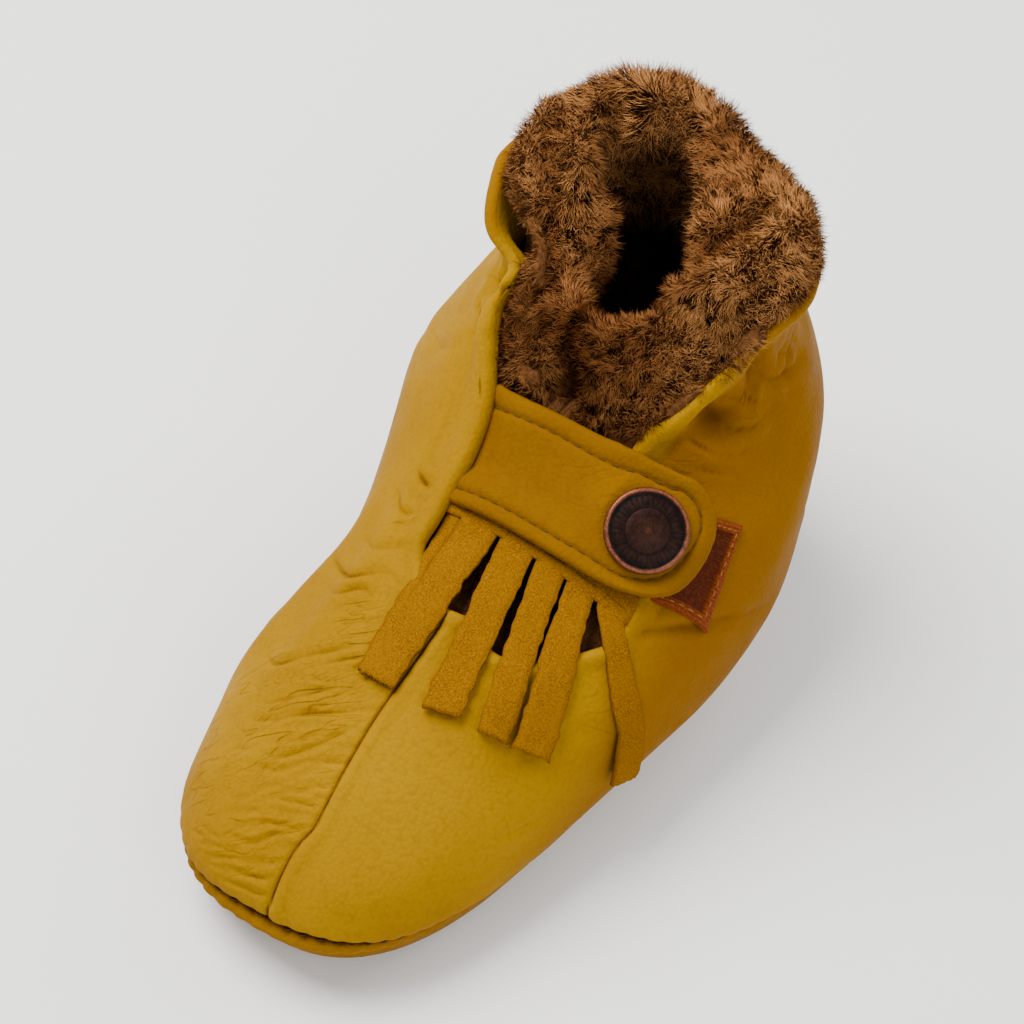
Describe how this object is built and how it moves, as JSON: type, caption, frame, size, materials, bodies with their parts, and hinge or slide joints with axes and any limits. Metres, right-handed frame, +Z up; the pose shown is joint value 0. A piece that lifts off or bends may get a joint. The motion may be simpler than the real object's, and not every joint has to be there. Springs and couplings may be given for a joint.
{
  "type": "baby moccasin slipper",
  "caption": "Soft-soled baby moccasin bootie in deerskin, lined with shearling that rolls out at a flared collar, with a snapped strap over a cut suede fringe.",
  "frame": {"origin": "on the floor plane, in the flat of the sole between ball and heel, on the centre line", "axes": "+Z up, the toe points to -Y and the heel to +Y, +X is the outer (lateral) side of the left foot"},
  "size_m": [0.0805, 0.1477, 0.0913],
  "materials": {
    "sole_deerskin": "matt golden deerskin, flesh side scuffed",
    "shearling_footbed": "brown shearling pile, trodden",
    "deerskin": "soft pebbled golden-yellow deerskin",
    "shearling": "deep brown shearling pile",
    "strap_deerskin": "golden-yellow deerskin, two layers, stitched round the edge",
    "suede": "mustard suede, cut edges",
    "woven_tape": "red-brown woven tape, blank",
    "antique_copper": "oxidised copper plate, brighter at the rolled rim"
  },
  "bodies": {
    "root": {"outsole": "sole_deerskin", "insole": "shearling_footbed", "upper": "deerskin", "shearling_lining": "shearling", "strap": "strap_deerskin", "fringe": "suede", "label_tab": "woven_tape", "snap_fastener": "antique_copper"}
  },
  "joints": []
}
